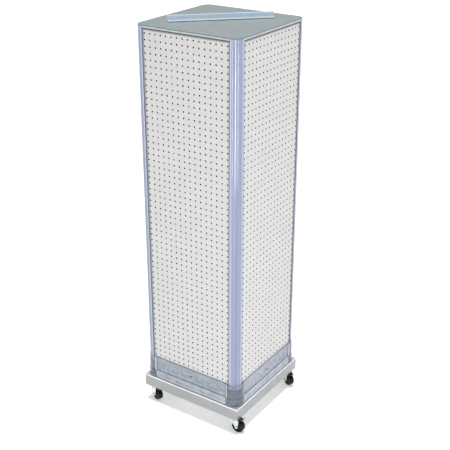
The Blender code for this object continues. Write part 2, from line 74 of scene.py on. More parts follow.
# Tray
COLLAR_CENTRE = 7.9
COLLAR_RADIUS = 1.7
COLLAR_SPAN = 1.0
# Degrees off a collar's diagonal beyond which its strip of painted highlight, and then its line of painted
# shade, run
COLLAR_HIGHLIGHT_DEG = 57
COLLAR_SHADE_LINE_DEG = 64
TRAY_FACE = 9.42
TRAY_WALL = 0.1
TRAY_SEAT = 8.25
TRAY_BAND = 8.35
TRAY_FOOT_BOTTOM = 5.19
BEARING_ROOM = 0.274
FOOT_LINE = 5.85
FOOT_TOP = 6.6
FOOT_FACE = 9.55
FOOT_INSET = 0.12
FOOT_STEP = 0.05
FOOT_SOFT = 0.04
FOOT_GROOVE = 0.035
TRAY_SOFT = 0.03
TRAY_LINE_TOP = 0.15
RIB_PLACES = (-5.6, -2.9, 3.4, 5.9)
RIB_WIDTH = 0.16
RIB_DEPTH = 0.25
RIB_PROUD = 0.012
RIB_RISE = 0.1
MARK_PLACES = (-4.4, 1.6, 4.7)
MARK_HEIGHT = 7.55
MARK_RADII = (0.2, 0.16)
MARK_SUNK = 0.004
MARK_PROUD = 0.012
TRAY_KINDS = ("tray", "collar", "tray_band", "tray_foot", "tray_painted_shade_line", "collar_highlight_strip", "collar_band")
TRAY_LEDGE = 0.12
TRAY_FLOOR = 0.12
SEAT_HALF = 8.85
SEAT_RADIUS = 1.05

# Pan
# Pan: painted shade in a line under the folded edge and a painted highlight on its top, set by height
PAN_LINE_DROP = 0.6
PAN_DARK = (0.24, 0.26, 0.26)
PAN_LIGHT = (1.0, 1.0, 1.0)
PAN_MOTTLE = 0.16
PAN_SHADE_LINE_SPAN = (0.3, 0.55)
PAN_SHADE_LINE_TONE = -0.2
PAN_TOP_HIGHLIGHT_START = 0.72
PAN_TOP_HIGHLIGHT_TONE = 0.78

# Lid and sign channel
LID_PLATE = 0.15
LID_SKIRT = 0.4
LID_SKIRT_WALL = 0.1
LID_SKIRT_GAP = 0.03
LID_SEAM = 0.13
LID_SEAM_DEPTH = 0.05
LID_RIM_HALF = 8.9
LID_RIM_WALL = 0.1
LID_RIM_RADII = (1.2, 1.1)
LID_EDGE = 0.05
LID_UNDER_EDGE = 0.02
LID_SOFT = 0.03
LID_KINDS = ("lid", "skirt", "painted_shade_edge", "lid_seam_painted_shadow")
SIGN_HALF = 0.25
SIGN_SOFT = 0.03
SIGN_KINDS = ("sign", "sign_base", "painted_shade_edge")
SIGN_BASE = 0.36
# Height of the foot that is painted dark as the channel's shadow
SIGN_FOOT = 0.1
SIGN_WALL = 0.12

# Casters
WHEEL_WIDTH = 0.94
WHEEL_BORE = 0.202
# Radius, and depth below the hub's end, of the rings on each face of a wheel from its hub outwards
WHEEL_FACE = (
    (0.33, 0.0),
    (0.36, 0.02),
    (0.4, 0.12),
    (0.56, 0.12),
    (0.58, 0.09),
    (0.64, 0.09),
    (0.66, 0.12),
    (0.79, 0.12),
    (0.84, 0.03),
    (0.88, 0.01),
)
TREAD_DROP = 0.01
TREAD_FLANK = 0.16
TREAD_ROUND = 0.12
TREAD_CROWN = 0.17
TREAD_STEPS = 6
CASTER_TRAIL = 0.75
CASTER_INSET = 1.2
BOLT_OFFSET = 0.78
BOLT_PROFILE = ((0.14, -0.11), (0.16, -0.09), (0.16, 0.0))
PLATE_UNDERSIDE = 2.788
FORK_OUTER = 0.66
RIVET_PLACE = (0.08, 2.2)
RIVET_PROFILE = ((0.13, 0.0), (0.12, 0.03), (0.07, 0.055))
BRAKE_PIVOT = (0.96, 2.41)
BRAKE_LIFT_DEG = 18.0
PEDAL_HALF = 0.44
PEDAL_TOP = ((0.08, 0.09), (0.3, 0.05), (0.5, 0.02), (0.66, 0.03), (0.74, 0.09), (0.79, 0.17))
PEDAL_UNDER = ((0.84, 0.15), (0.8, 0.03), (0.72, -0.06), (0.5, -0.07), (0.3, -0.05))
PEDAL_HUB_RADIUS = 0.1
PEDAL_HUB_STEPS = 8
PEDAL_RIB_OUTLINE = ((0.55, 0.0), (0.7, 0.01), (0.7, 0.075), (0.55, 0.055))
PEDAL_RIB_PLACES = (-0.3, -0.1, 0.1, 0.3)
PEDAL_RIB_HALF = 0.03
CASTER_REST_DEG = {"front_right": 0.0, "rear_right": -25.0, "rear_left": 180.0, "front_left": -20.0}
BRAKE_UP_AT_REST = ("front_right",)

# Camera
CAMERA_PLACE = (77.7, -113.0, 95.2)
CAMERA_AZIMUTH = 34.27
CAMERA_ELEVATION = 24.45
CAMERA_LENS = 72.0
CAMERA_SENSOR = 36.0

# Light
FLOOR_GLOW = 0.36
WORLD_STRENGTH = 0.36
OVERHEAD_STRENGTH = 2.5
OVERHEAD_AIM = (0.0, -0.02, -1.0)
OVERHEAD_ANGLE = 13
FLOOR_REACH = 60.0
SIDE_STRIP_SIZE = (0.5, 3.0)
SIDE_STRIP_AIM = (0, 0, 0.9)
SIDE_STRIPS = {"left_strip": ((0.6, -4.2, 2.2), 2.5), "right_strip": ((4.2, 0.8, 2.2), 1.0)}
# Strips that show as highlights on the front post: their azimuth seen from it, and power
LOW_STRIP_REACH = 2.6
LOW_STRIP_HEIGHT = 0.62
LOW_STRIP_SIZE = (0.35, 1.0)
LOW_STRIP_AIM_HEIGHT = 1.2
LOW_STRIPS = {"low_left_strip": (-58, 11.0), "low_right_strip": (-25, 9.0)}

CORNERS = {
    "front_right": (1, -1),
    "rear_right": (1, 1),
    "rear_left": (-1, 1),
    "front_left": (-1, -1),
}
SIDES = ("front", "right", "rear", "left")

PLASTICS = {
    "tray": dict(dark=(0.25, 0.30, 0.38), light=(0.47, 0.53, 0.62), roughness=0.2, alpha=0.8, scale=70.0),
    "tray_band": dict(dark=(0.31, 0.36, 0.43), light=(0.44, 0.49, 0.56), roughness=0.2, alpha=0.8),
    "tray_foot": dict(dark=(0.36, 0.40, 0.49), light=(0.56, 0.60, 0.69), roughness=0.2, alpha=0.85),
    # Dark lines of painted shade in the foot's groove, on the step above the foot and along each collar's
    # crease
    "tray_painted_shade_line": dict(dark=(0.13, 0.15, 0.20), light=(0.20, 0.22, 0.28), roughness=0.2, alpha=0.9),
    "collar": dict(dark=(0.14, 0.17, 0.23), light=(0.22, 0.26, 0.34), roughness=0.15, alpha=0.6),
    "collar_band": dict(dark=(0.26, 0.32, 0.38), light=(0.36, 0.42, 0.48), roughness=0.15, alpha=0.3),
    # Light strip of painted highlight up each collar
    "collar_highlight_strip": dict(dark=(0.70, 0.75, 0.84), light=(0.80, 0.85, 0.93), roughness=0.15, alpha=0.8),
    "lid": dict(dark=(0.29, 0.335, 0.34), light=(0.335, 0.385, 0.39), roughness=0.5, coat=0.1),
    # Painted shade: dark colour for the lid plate's edge and the sign channel's foot
    "painted_shade_edge": dict(dark=(0.14, 0.19, 0.18), light=(0.20, 0.25, 0.24), roughness=0.3),
    # Painted shadow: near black in the recessed seam under the skirt
    "lid_seam_painted_shadow": dict(dark=(0.01, 0.014, 0.013), light=(0.02, 0.025, 0.024), roughness=0.5, coat=0.0),
    # Painted light: the skirt is coloured lighter than the lid's level face of the same plastic
    "skirt": dict(dark=(0.44, 0.50, 0.53), light=(0.54, 0.60, 0.63), roughness=0.3),
    "sign": dict(dark=(0.66, 0.80, 0.98), light=(0.74, 0.87, 1.0), roughness=0.15, alpha=0.9, glow=0.12),
    "sign_base": dict(dark=(0.76, 0.90, 1.0), light=(0.82, 0.95, 1.0), roughness=0.15, glow=0.32),
}

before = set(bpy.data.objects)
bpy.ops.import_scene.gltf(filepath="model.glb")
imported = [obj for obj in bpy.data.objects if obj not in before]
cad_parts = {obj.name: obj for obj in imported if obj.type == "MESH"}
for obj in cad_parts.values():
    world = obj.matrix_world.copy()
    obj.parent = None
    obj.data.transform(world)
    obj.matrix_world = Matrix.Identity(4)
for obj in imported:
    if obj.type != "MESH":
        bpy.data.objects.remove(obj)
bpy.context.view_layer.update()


# Mesh helpers


def node_box(name):
    """Lowest and highest corner of a CAD node, in inches."""
    low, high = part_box(name)
    return low / INCH, high / INCH


def build_mesh(name, points, faces, smooth_angle=35):
    mesh = bpy.data.meshes.new(name)
    mesh.from_pydata([tuple(Vector(point) * INCH) for point in points], [], faces)
    mesh.shade_smooth()
    mesh.set_sharp_from_angle(angle=math.radians(smooth_angle))
    mesh.update()
    return mesh


def add_piece(name, mesh, materials, body, place=(0, 0, 0), turn_z=0.0):
    piece = bpy.data.objects.new(name, mesh)
    bpy.context.scene.collection.objects.link(piece)
    if not mesh.materials:
        for material in materials:
            mesh.materials.append(material)
    piece.location = Vector(place) * INCH
    piece.rotation_euler = (0, 0, turn_z)
    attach(piece, body)
    return piece


def loft_parts(rings, closed=False):
    """Points and faces of a closed body through equal rings. An open stack gets a cap at each end."""
    count = len(rings[0])
    points = [point for ring in rings for point in ring]
    starts = [k * count for k in range(len(rings))]
    pairs = list(zip(starts, starts[1:]))
    if closed:
        pairs.append((starts[-1], starts[0]))
    faces = []
    for lower, upper in pairs:
        for i in range(count):
            j = (i + 1) % count
            faces.append((lower + i, lower + j, upper + j, upper + i))
    if not closed:
        faces.append(tuple(reversed(range(count))))
        faces.append(tuple(starts[-1] + i for i in range(count)))
    return points, faces


def merge_parts(parts):
    """Several closed bodies as one list of points and one of faces."""
    points, faces = [], []
    for more_points, more_faces in parts:
        start = len(points)
        points += more_points
        faces += [tuple(start + i for i in face) for face in more_faces]
    return points, faces


def prism_parts(outline, low, high):
    return loft_parts([[(x, y, z) for x, y in outline] for z in (low, high)])


def turned_parts(profile, count, axis="Z", closed=False, place=(0, 0, 0)):
    """A body turned about the Z or Y axis through place. The profile holds (radius, height) pairs."""
    rings = []
    for radius, height in profile:
        ring = []
        for i in range(count):
            angle = 2 * math.pi * i / count
            a, b = radius * math.cos(angle), radius * math.sin(angle)
            local = (a, b, height) if axis == "Z" else (b, height, a)
            ring.append(tuple(Vector(local) + Vector(place)))
        rings.append(ring)
    return loft_parts(rings, closed)


def turn_parts(parts, angle, axis="Z"):
    points, faces = parts
    matrix = Matrix.Rotation(angle, 3, axis)
    return [tuple(matrix @ Vector(point)) for point in points], faces


def four_sides(parts):
    """The same body on each side of the tower."""
    return merge_parts([turn_parts(parts, side * math.pi / 2) for side in range(4)])


def rounded_square(half, radius, z, steps=16):
    centre = half - radius
    points = []
    for k, (sx, sy) in enumerate(CORNERS.values()):
        for i in range(steps + 1):
            angle = math.radians(-90 + 90 * k + 90 * i / steps)
            across = sx * centre + radius * math.cos(angle)
            points.append((across, sy * centre + radius * math.sin(angle), z))
    return points


# Materials


def add_node(material, kind, **inputs):
    node = material.node_tree.nodes.new(kind)
    for name, value in inputs.items():
        node.inputs[name.replace("_", " ")].default_value = value
    return node


def make_material(name, roughness, metallic=0.0, coat=0.0, alpha=1.0):
    material = bpy.data.materials.new(name)
    material.use_nodes = True
    shader = material.node_tree.nodes["Principled BSDF"]
    shader.inputs["Roughness"].default_value = roughness
    shader.inputs["Metallic"].default_value = metallic
    shader.inputs["Coat Weight"].default_value = coat
    shader.inputs["Coat Roughness"].default_value = 0.08
    shader.inputs["Alpha"].default_value = alpha
    return material


def object_coordinates(material, scale=(1, 1, 1), turn=(0, 0, 0)):
    """Coordinates fixed to the piece, in metres, stretched and turned."""
    coordinates = add_node(material, "ShaderNodeTexCoord")
    mapping = add_node(material, "ShaderNodeMapping")
    mapping.inputs["Scale"].default_value = scale
    mapping.inputs["Rotation"].default_value = turn
    material.node_tree.links.new(coordinates.outputs["Object"], mapping.inputs["Vector"])
    return mapping.outputs["Vector"]


def noise(material, coordinates, scale, detail=3.0, roughness=0.5):
    node = add_node(material, "ShaderNodeTexNoise", Scale=scale, Detail=detail, Roughness=roughness)
    material.node_tree.links.new(coordinates, node.inputs["Vector"])
    return node.outputs["Fac"]


def combine(material, operation, first, second):
    """Maths on two values, the second a socket or a number."""
    node = add_node(material, "ShaderNodeMath")
    node.operation = operation
    material.node_tree.links.new(first, node.inputs[0])
    if isinstance(second, (int, float)):
        node.inputs[1].default_value = second
    else:
        material.node_tree.links.new(second, node.inputs[1])
    return node.outputs["Value"]


def colour_from(material, factor, dark, light, low=0.35, high=0.65):
    ramp = add_node(material, "ShaderNodeValToRGB")
    ramp.color_ramp.elements[0].position = low
    ramp.color_ramp.elements[0].color = (*dark, 1.0)
    ramp.color_ramp.elements[1].position = high
    ramp.color_ramp.elements[1].color = (*light, 1.0)
    links = material.node_tree.links
    links.new(factor, ramp.inputs["Fac"])
    links.new(ramp.outputs["Color"], material.node_tree.nodes["Principled BSDF"].inputs["Base Color"])


def bump_from(material, height, strength, distance):
    node = add_node(material, "ShaderNodeBump", Strength=strength, Distance=distance)
    links = material.node_tree.links
    links.new(height, node.inputs["Height"])
    links.new(node.outputs["Normal"], material.node_tree.nodes["Principled BSDF"].inputs["Normal"])


def roughness_from(material, factor, low, high):
    spread = add_node(material, "ShaderNodeMapRange")
    spread.inputs["To Min"].default_value = low
    spread.inputs["To Max"].default_value = high
    links = material.node_tree.links
    links.new(factor, spread.inputs["Value"])
    links.new(spread.outputs["Result"], material.node_tree.nodes["Principled BSDF"].inputs["Roughness"])


def edge_shade(material, axis, sign, start, full):
    """Shade where the board meets its frame: 0 at start and 1 at full, in inches along one axis."""
    split = add_node(material, "ShaderNodeSeparateXYZ")
    material.node_tree.links.new(object_coordinates(material), split.inputs[0])
    place = split.outputs[axis]
    if axis == 0:
        place = combine(material, "ABSOLUTE", place, 0.0)
    spread = add_node(material, "ShaderNodeMapRange")
    spread.inputs["From Min"].default_value = start * INCH
    spread.inputs["From Max"].default_value = full * INCH
    material.node_tree.links.new(combine(material, "MULTIPLY", place, sign), spread.inputs["Value"])
    return spread.outputs["Result"]


def panel_face_material():
    """Satin off-white hardboard face with a very fine grain, shaded where it meets its frame."""
    material = make_material("panel_face", 0.45)
    broad = noise(material, object_coordinates(material), 9.0, 4.0)
    tone = combine(material, "ADD", combine(material, "MULTIPLY", broad, 0.1), 0.9)
    panel_top = node_box("peg_panel_front")[1].z
    tray_top = node_box("base_tray")[1].z
    edges = (
        (0, 1, POST_LIP, POST_SHADE),
        (2, 1, panel_top - LID_SKIRT, LID_SHADE),
        (2, -1, -tray_top, TRAY_SHADE),
    )
    for axis, sign, place, (start, full) in edges:
        shade = edge_shade(material, axis, sign, place - start, place - full)
        tone = combine(material, "SUBTRACT", tone, shade)
    colour_from(material, tone, (0.28, 0.28, 0.28), (0.70, 0.70, 0.69), 0.0, 0.98)
    grain = noise(material, object_coordinates(material), 1400.0, 2.0)
    bump_from(material, grain, 0.12, 0.0002)
    return material


def panel_back_painted_shade_material():
    """Near-black back of the board, also seen on the walls of its holes: painted shade, so that the holes
    read as dark as the shaded inside of the tower.
    """
    material = make_material("panel_back_painted_shade", 0.85)
    fibres = noise(material, object_coordinates(material), 420.0, 5.0)
    # Near-black colour: painted shade for the back and the hole walls
    colour_from(material, fibres, (0.018, 0.018, 0.017), (0.045, 0.043, 0.040))
    bump_from(material, fibres, 0.25, 0.0004)
    return material


def clear_plastic(name, dark, light, roughness, alpha=1.0, coat=0.6, scale=30.0, glow=0.0):
    """Cloudy clear plastic. Glow stands for the light that comes through it from behind."""
    material = make_material(name, roughness, coat=coat, alpha=alpha)
    shader = material.node_tree.nodes["Principled BSDF"]
    shader.inputs["Emission Color"].default_value = (*light, 1.0)
    shader.inputs["Emission Strength"].default_value = glow
    cloud = noise(material, object_coordinates(material), scale, 3.0)
    colour_from(material, cloud, dark, light, 0.3, 0.7)
    ripple = noise(material, object_coordinates(material), scale * 4, 2.0)
    bump_from(material, ripple, 0.08, 0.0006)
    return material


def post_plastic():
    """Lavender extrusion with painted light along its edges and painted shade in its middle and grooves,
    carried by a value on each point.
    """
    material = make_material("post_plastic", 0.2, coat=0.35)
    shader = material.node_tree.nodes["Principled BSDF"]
    shader.inputs["Specular IOR Level"].default_value = 0.15
    shader.inputs["Coat IOR"].default_value = 3.0
    shader.inputs["Coat Roughness"].default_value = 0.13
    tone_painted_light_and_shade = add_node(material, "ShaderNodeAttribute")
    tone_painted_light_and_shade.attribute_name = "tone_painted_light_and_shade"
    streaks = noise(material, object_coordinates(material, (60.0, 60.0, 1.5)), 1.0)
    tone = combine(material, "ADD", combine(material, "MULTIPLY", streaks, 0.1), tone_painted_light_and_shade.outputs["Fac"])
    colour_from(material, tone, (0.05, 0.09, 0.25), (0.60, 0.66, 0.86), 0.05, 1.05)
    bump_from(material, streaks, 0.02, 0.0005)
    return material


def pan_painted_shade_and_highlight(material):
    """What the pan's height adds to its tone: a dark line of painted shade just under the folded edge, and a
    painted highlight on the top.
    """
    top = node_box("dolly_pan")[1].z
    split = add_node(material, "ShaderNodeSeparateXYZ")
    height = add_node(material, "ShaderNodeMapRange")
    height.inputs["From Min"].default_value = (top - PAN_LINE_DROP) * INCH
    height.inputs["From Max"].default_value = top * INCH
    ramp = add_node(material, "ShaderNodeValToRGB")
    stops = ramp.color_ramp.elements
    stops[0].color = (0.0, 0.0, 0.0, 1.0)
    stops[1].position = PAN_TOP_HIGHLIGHT_START
    stops[1].color = (PAN_TOP_HIGHLIGHT_TONE, PAN_TOP_HIGHLIGHT_TONE, PAN_TOP_HIGHLIGHT_TONE, 1.0)
    for position in PAN_SHADE_LINE_SPAN:
        stop = stops.new(position)
        stop.color = (PAN_SHADE_LINE_TONE, PAN_SHADE_LINE_TONE, PAN_SHADE_LINE_TONE, 1.0)
    links = material.node_tree.links
    links.new(object_coordinates(material), split.inputs[0])
    links.new(split.outputs["Z"], height.inputs["Value"])
    links.new(height.outputs["Result"], ramp.inputs["Fac"])
    return ramp.outputs["Color"]


def pan_sheet():
    """Bare sheet with slanting streaks, bright on its top with a painted highlight, and a line of painted
    shade under its folded edge.
    """
    material = make_material("pan_sheet", 0.36, metallic=0.7)
    streaked = object_coordinates(material, (14.0, 14.0, 520.0), (0.3, 0.3, 0.0))
    streaks = noise(material, streaked, 1.0, 5.0, 0.6)
    patches = noise(material, object_coordinates(material), 4.0, 3.0)
    mottle = combine(material, "MULTIPLY", combine(material, "ADD", streaks, patches), PAN_MOTTLE)
    tone = combine(material, "ADD", mottle, pan_painted_shade_and_highlight(material))
    colour_from(material, tone, PAN_DARK, PAN_LIGHT, 0.0, 1.0)
    roughness_from(material, streaks, 0.28, 0.46)
    bump_from(material, streaks, 0.1, 0.0002)
    return material


def plated_steel():
    """Bright zinc plate with faint spangle."""
    material = make_material("zinc_plate", 0.25, metallic=1.0)
    spangle = noise(material, object_coordinates(material), 160.0, 2.0)
    colour_from(material, spangle, (0.62, 0.66, 0.70), (0.80, 0.84, 0.88))
    roughness_from(material, spangle, 0.18, 0.34)
    return material


def polished_steel():
    material = make_material("polished_steel", 0.1, metallic=1.0)
    stain = noise(material, object_coordinates(material), 90.0, 2.0)
    colour_from(material, stain, (0.60, 0.60, 0.62), (0.72, 0.72, 0.74))
    return material


def black_rubber():
    material = make_material("black_rubber", 0.25, coat=0.4)
    material.node_tree.nodes["Principled BSDF"].inputs["Specular IOR Level"].default_value = 0.05
    wear = noise(material, object_coordinates(material), 120.0, 4.0)
    colour_from(material, wear, (0.002, 0.002, 0.002), (0.006, 0.006, 0.007))
    roughness_from(material, wear, 0.14, 0.3)
    bump_from(material, wear, 0.1, 0.0003)
    return material


def black_paint():
    material = make_material("black_paint", 0.35, coat=0.3)
    peel = noise(material, object_coordinates(material), 500.0, 2.0)
    colour_from(material, peel, (0.006, 0.006, 0.007), (0.014, 0.014, 0.015))
    bump_from(material, peel, 0.15, 0.0002)
    return material


def dark_plated():
    material = make_material("dark_plate", 0.35, metallic=0.8)
    stain = noise(material, object_coordinates(material), 300.0, 2.0)
    colour_from(material, stain, (0.10, 0.11, 0.13), (0.20, 0.22, 0.26))
    return material


def floor_material():
    """Pale floor, lit a little from below as a light table is, so that only deep shade shows on it."""
    material = make_material("pale_floor", 0.9)
    cloud = noise(material, object_coordinates(material), 0.5, 2.0)
    colour_from(material, cloud, (0.82, 0.82, 0.82), (0.85, 0.85, 0.85))
    shader = material.node_tree.nodes["Principled BSDF"]
    shader.inputs["Emission Color"].default_value = (1.0, 1.0, 1.0, 1.0)
    shader.inputs["Emission Strength"].default_value = FLOOR_GLOW
    return material


def make_materials():
    materials = {kind: clear_plastic(f"{kind}_plastic", **look) for kind, look in PLASTICS.items()}
    materials["face"] = panel_face_material()
    materials["core"] = panel_back_painted_shade_material()
    materials["post"] = post_plastic()
    materials["pan"] = pan_sheet()
    materials["zinc"] = plated_steel()
    materials["ball"] = polished_steel()
    materials["rubber"] = black_rubber()
    materials["paint"] = black_paint()
    materials["dark"] = dark_plated()
    materials["floor"] = floor_material()
    return materials


# Peg panels


def hole_cell(column, row, corners, front, back, points, faces):
    """One pitch square of board with its hole. Corners are its shared points on the front and the back."""
    x0 = (column - (HOLE_COLUMNS - 1) / 2) * HOLE_PITCH
    z0 = LOWEST_HOLE + row * HOLE_PITCH
    start = len(points)
    for y in (front, back):
        for i in range(HOLE_SIDES):
            angle = 2 * math.pi * (i + 0.5) / HOLE_SIDES - math.pi
            points.append((x0 + HOLE_RADIUS * math.cos(angle), y, z0 + HOLE_RADIUS * math.sin(angle)))
    quarter = HOLE_SIDES // 4
    for k in range(4):
        corner_front, corner_back = corners[0][k], corners[1][k]
        next_front, next_back = corners[0][(k + 1) % 4], corners[1][(k + 1) % 4]
        rim = [start + (k * quarter + i) % HOLE_SIDES for i in range(quarter + 1)]
        inner = [i + HOLE_SIDES for i in rim]
        faces.append(((corner_front, next_front, *reversed(rim)), 0))
        faces.append(((next_back, corner_back, *inner), 1))
    for i in range(HOLE_SIDES):
        j = (i + 1) % HOLE_SIDES
        faces.append(((start + i, start + j, start + HOLE_SIDES + j, start + HOLE_SIDES + i), 1))


def panel_mesh(materials):
    """Front panel: a perforated field, with plain margins."""
    low, high = node_box("peg_panel_front")
    front = low.y
    back = front + FIELD_THICKNESS
    half = HOLE_COLUMNS * HOLE_PITCH / 2
    bottom = LOWEST_HOLE - HOLE_PITCH / 2
    xs = [low.x, *[-half + i * HOLE_PITCH for i in range(HOLE_COLUMNS + 1)], high.x]
    zs = [low.z, *[bottom + j * HOLE_PITCH for j in range(HOLE_ROWS + 1)], high.z]
    points = [(x, y, z) for y in (front, back) for z in zs for x in xs]
    wide, tall = len(xs), len(zs)
    layer = wide * tall
    faces = []
    for j in range(tall - 1):
        for i in range(wide - 1):
            lower = j * wide + i
            corners = (lower, lower + 1, lower + wide + 1, lower + wide)
            behind = tuple(layer + k for k in corners)
            margin = i in (0, wide - 2) or j in (0, tall - 2)
            if margin:
                faces.append((corners, 0))
                faces.append((tuple(reversed(behind)), 1))
            else:
                hole_cell(i - 1, j - 1, (corners, behind), front, back, points, faces)
    loop = list(range(wide))
    loop += [j * wide + wide - 1 for j in range(1, tall)]
    loop += [(tall - 1) * wide + i for i in reversed(range(wide - 1))]
    loop += [j * wide for j in reversed(range(1, tall - 1))]
    for a, b in zip(loop, loop[1:] + loop[:1]):
        faces.append(((b, a, layer + a, layer + b), 0))
    mesh = build_mesh("peg_panel", points, [face for face, _ in faces], 30)
    mesh.materials.append(materials["face"])
    mesh.materials.append(materials["core"])
    mesh.polygons.foreach_set("material_index", [index for _, index in faces])
    return mesh


def make_panels(materials):
    mesh = panel_mesh(materials)
    for side, name in enumerate(SIDES):
        panel = add_piece(f"pegboard_{name}", mesh, (), "tower", turn_z=side * math.pi / 2)
        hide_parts(f"peg_panel_{name}")


# Corner posts


def post_outline():
    """Section in the front right corner: quarter-round skin with grooves, and a slot for each panel."""
    outer = POST_CENTRE + POST_RADIUS
    slot_outer = outer - POST_SKIN
    slot_inner = -node_box("peg_panel_front")[1].y - PANEL_CLEARANCE
    lip_inner = slot_inner - POST_LIP_WALL
    wall = SLOT_END + POST_SLOT_WALL
    inner_radius = POST_RADIUS - POST_SKIN - GROOVE_DEPTH
    points = []
    for i in range(POST_STEPS + 1):
        share = i / POST_STEPS
        angle = math.radians(-90 + 90 * share)
        radius = POST_RADIUS - GROOVE_DEPTH * groove_at(share)
        points.append((POST_CENTRE + radius * math.cos(angle), -POST_CENTRE + radius * math.sin(angle)))
    half = [
        (outer, -POST_LIP),
        (slot_outer, -POST_LIP),
        (slot_outer, -SLOT_END),
        (slot_inner, -SLOT_END),
        (slot_inner, -POST_LIP),
        (lip_inner, -POST_LIP),
        (lip_inner, -wall),
    ]
    points += half
    first = math.asin((wall - POST_CENTRE) / inner_radius)
    for i in range(POST_INNER_STEPS + 1):
        angle = -first - (math.pi / 2 - 2 * first) * i / POST_INNER_STEPS
        across = POST_CENTRE + inner_radius * math.cos(angle)
        points.append((across, -POST_CENTRE + inner_radius * math.sin(angle)))
    points += [(-y, -x) for x, y in reversed(half)]
    return points


def groove_at(share):
    """Depth of the skin's grooves, from 0 to 1, at a share of the way round the quarter."""
    nearest = min(abs(share - centre) for centre in GROOVE_SHARES)
    if nearest > GROOVE_HALF_SHARE:
        return 0.0
    return (1 + math.cos(math.pi * nearest / GROOVE_HALF_SHARE)) / 2


def post_tone_painted_light_and_shade(share):
    """How light the plastic is across the skin: light edges as painted light, and a darker middle and darker
    grooves as painted shade.
    """
    edge = max(0.0, 1 - min(share, 1 - share) / POST_EDGE_SHARE)
    middle = math.sin(math.pi * share) ** 2
    lightened = POST_BASE_TINT + (1 - POST_BASE_TINT) * edge
    return lightened - POST_MIDDLE_SHADE * middle - POST_GROOVE_SHADE * groove_at(share)


def make_posts(materials):
    low, high = node_box("corner_post_front_right")
    outline = post_outline()
    points, faces = prism_parts(outline, low.z, high.z)
    mesh = build_mesh("corner_moulding", points, faces, 40)
    tone_painted_light_and_shade = mesh.attributes.new("tone_painted_light_and_shade", "FLOAT", "POINT")
    # Painted light and shade across the skin, and a darker value on the inside faces
    skin = [post_tone_painted_light_and_shade(i / POST_STEPS) for i in range(POST_STEPS + 1)]
    inside = [POST_INSIDE_TINT] * (len(outline) - len(skin))
    tone_painted_light_and_shade.data.foreach_set("value", (skin + inside) * 2)
    for k, corner in enumerate(CORNERS):
        name = f"corner_moulding_{corner}"
        post = add_piece(name, mesh, (materials["post"],), "tower", turn_z=k * math.pi / 2)
        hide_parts(f"corner_post_{corner}")


# Tray


def tray_ring(face, radius, z, steps=20):
    """Tray outline at one height: straight walls at face, and a round collar bulging out at each corner."""
    reach = math.sqrt(radius**2 - (face - COLLAR_CENTRE) ** 2)
    first = math.atan2(face - COLLAR_CENTRE, -reach)
    sweep = 2 * (first - math.radians(45))
    points = []
    for k, (sx, sy) in enumerate(CORNERS.values()):
        middle = math.radians(-45 + 90 * k)
        for i in range(steps + 1):
            angle = middle - sweep / 2 + sweep * i / steps
            across = sx * COLLAR_CENTRE + radius * math.cos(angle)
            points.append((across, sy * COLLAR_CENTRE + radius * math.sin(angle), z))
    return points


def tray_rings():
    """Rings up the outside of the tray from its foot, over its top edge, and down the inside to its floor."""
    low, high = node_box("base_tray")
    bottom = low.z + BEARING_ROOM
    foot_radius = COLLAR_RADIUS + FOOT_STEP
    inner = TRAY_FACE - TRAY_WALL
    inner_radius = COLLAR_RADIUS - TRAY_WALL
    soft = TRAY_SOFT
    rings = [
        (FOOT_FACE - FOOT_INSET, foot_radius - TRAY_WALL, bottom),
        (FOOT_FACE - FOOT_INSET, foot_radius - TRAY_WALL, TRAY_FOOT_BOTTOM),
        (FOOT_FACE, foot_radius, TRAY_FOOT_BOTTOM),
        (FOOT_FACE, foot_radius, FOOT_LINE - FOOT_GROOVE),
        (FOOT_FACE - FOOT_GROOVE, foot_radius - FOOT_GROOVE, FOOT_LINE - FOOT_GROOVE / 2),
        (FOOT_FACE - FOOT_GROOVE, foot_radius - FOOT_GROOVE, FOOT_LINE + FOOT_GROOVE / 2),
        (FOOT_FACE, foot_radius, FOOT_LINE + FOOT_GROOVE),
        (FOOT_FACE, foot_radius, FOOT_TOP - 3 * soft),
        (FOOT_FACE - FOOT_SOFT, foot_radius - FOOT_SOFT / 4, FOOT_TOP - FOOT_SOFT / 2),
        (TRAY_FACE - soft, COLLAR_RADIUS - soft, FOOT_TOP),
        (TRAY_FACE - soft, COLLAR_RADIUS - soft, FOOT_TOP + TRAY_LINE_TOP - soft),
        (TRAY_FACE, COLLAR_RADIUS, FOOT_TOP + TRAY_LINE_TOP),
        (TRAY_FACE, COLLAR_RADIUS, TRAY_BAND),
        (TRAY_FACE, COLLAR_RADIUS, high.z - soft),
        (TRAY_FACE - soft, COLLAR_RADIUS - soft, high.z),
        (inner, inner_radius, high.z),
        (inner, inner_radius, TRAY_SEAT),
        (SEAT_HALF, SEAT_RADIUS, TRAY_SEAT),
        (SEAT_HALF, SEAT_RADIUS, TRAY_SEAT - TRAY_LEDGE),
        (inner - soft, inner_radius - soft, TRAY_SEAT - TRAY_LEDGE),
        (inner - soft, inner_radius - soft, bottom + TRAY_FLOOR),
    ]
    return [tray_ring(*ring) for ring in rings]


def tray_ribs():
    """Stiffening ribs through each wall, from the foot to the seat."""
    outer = TRAY_FACE + RIB_PROUD
    ribs = []
    for place in RIB_PLACES:
        outline = [(place - RIB_WIDTH / 2, -outer), (place + RIB_WIDTH / 2, -outer)]
        outline += [(x, y + RIB_DEPTH) for x, y in reversed(outline)]
        ribs.append(prism_parts(outline, FOOT_TOP + RIB_RISE, TRAY_SEAT - TRAY_LEDGE))
    return four_sides(merge_parts(ribs))


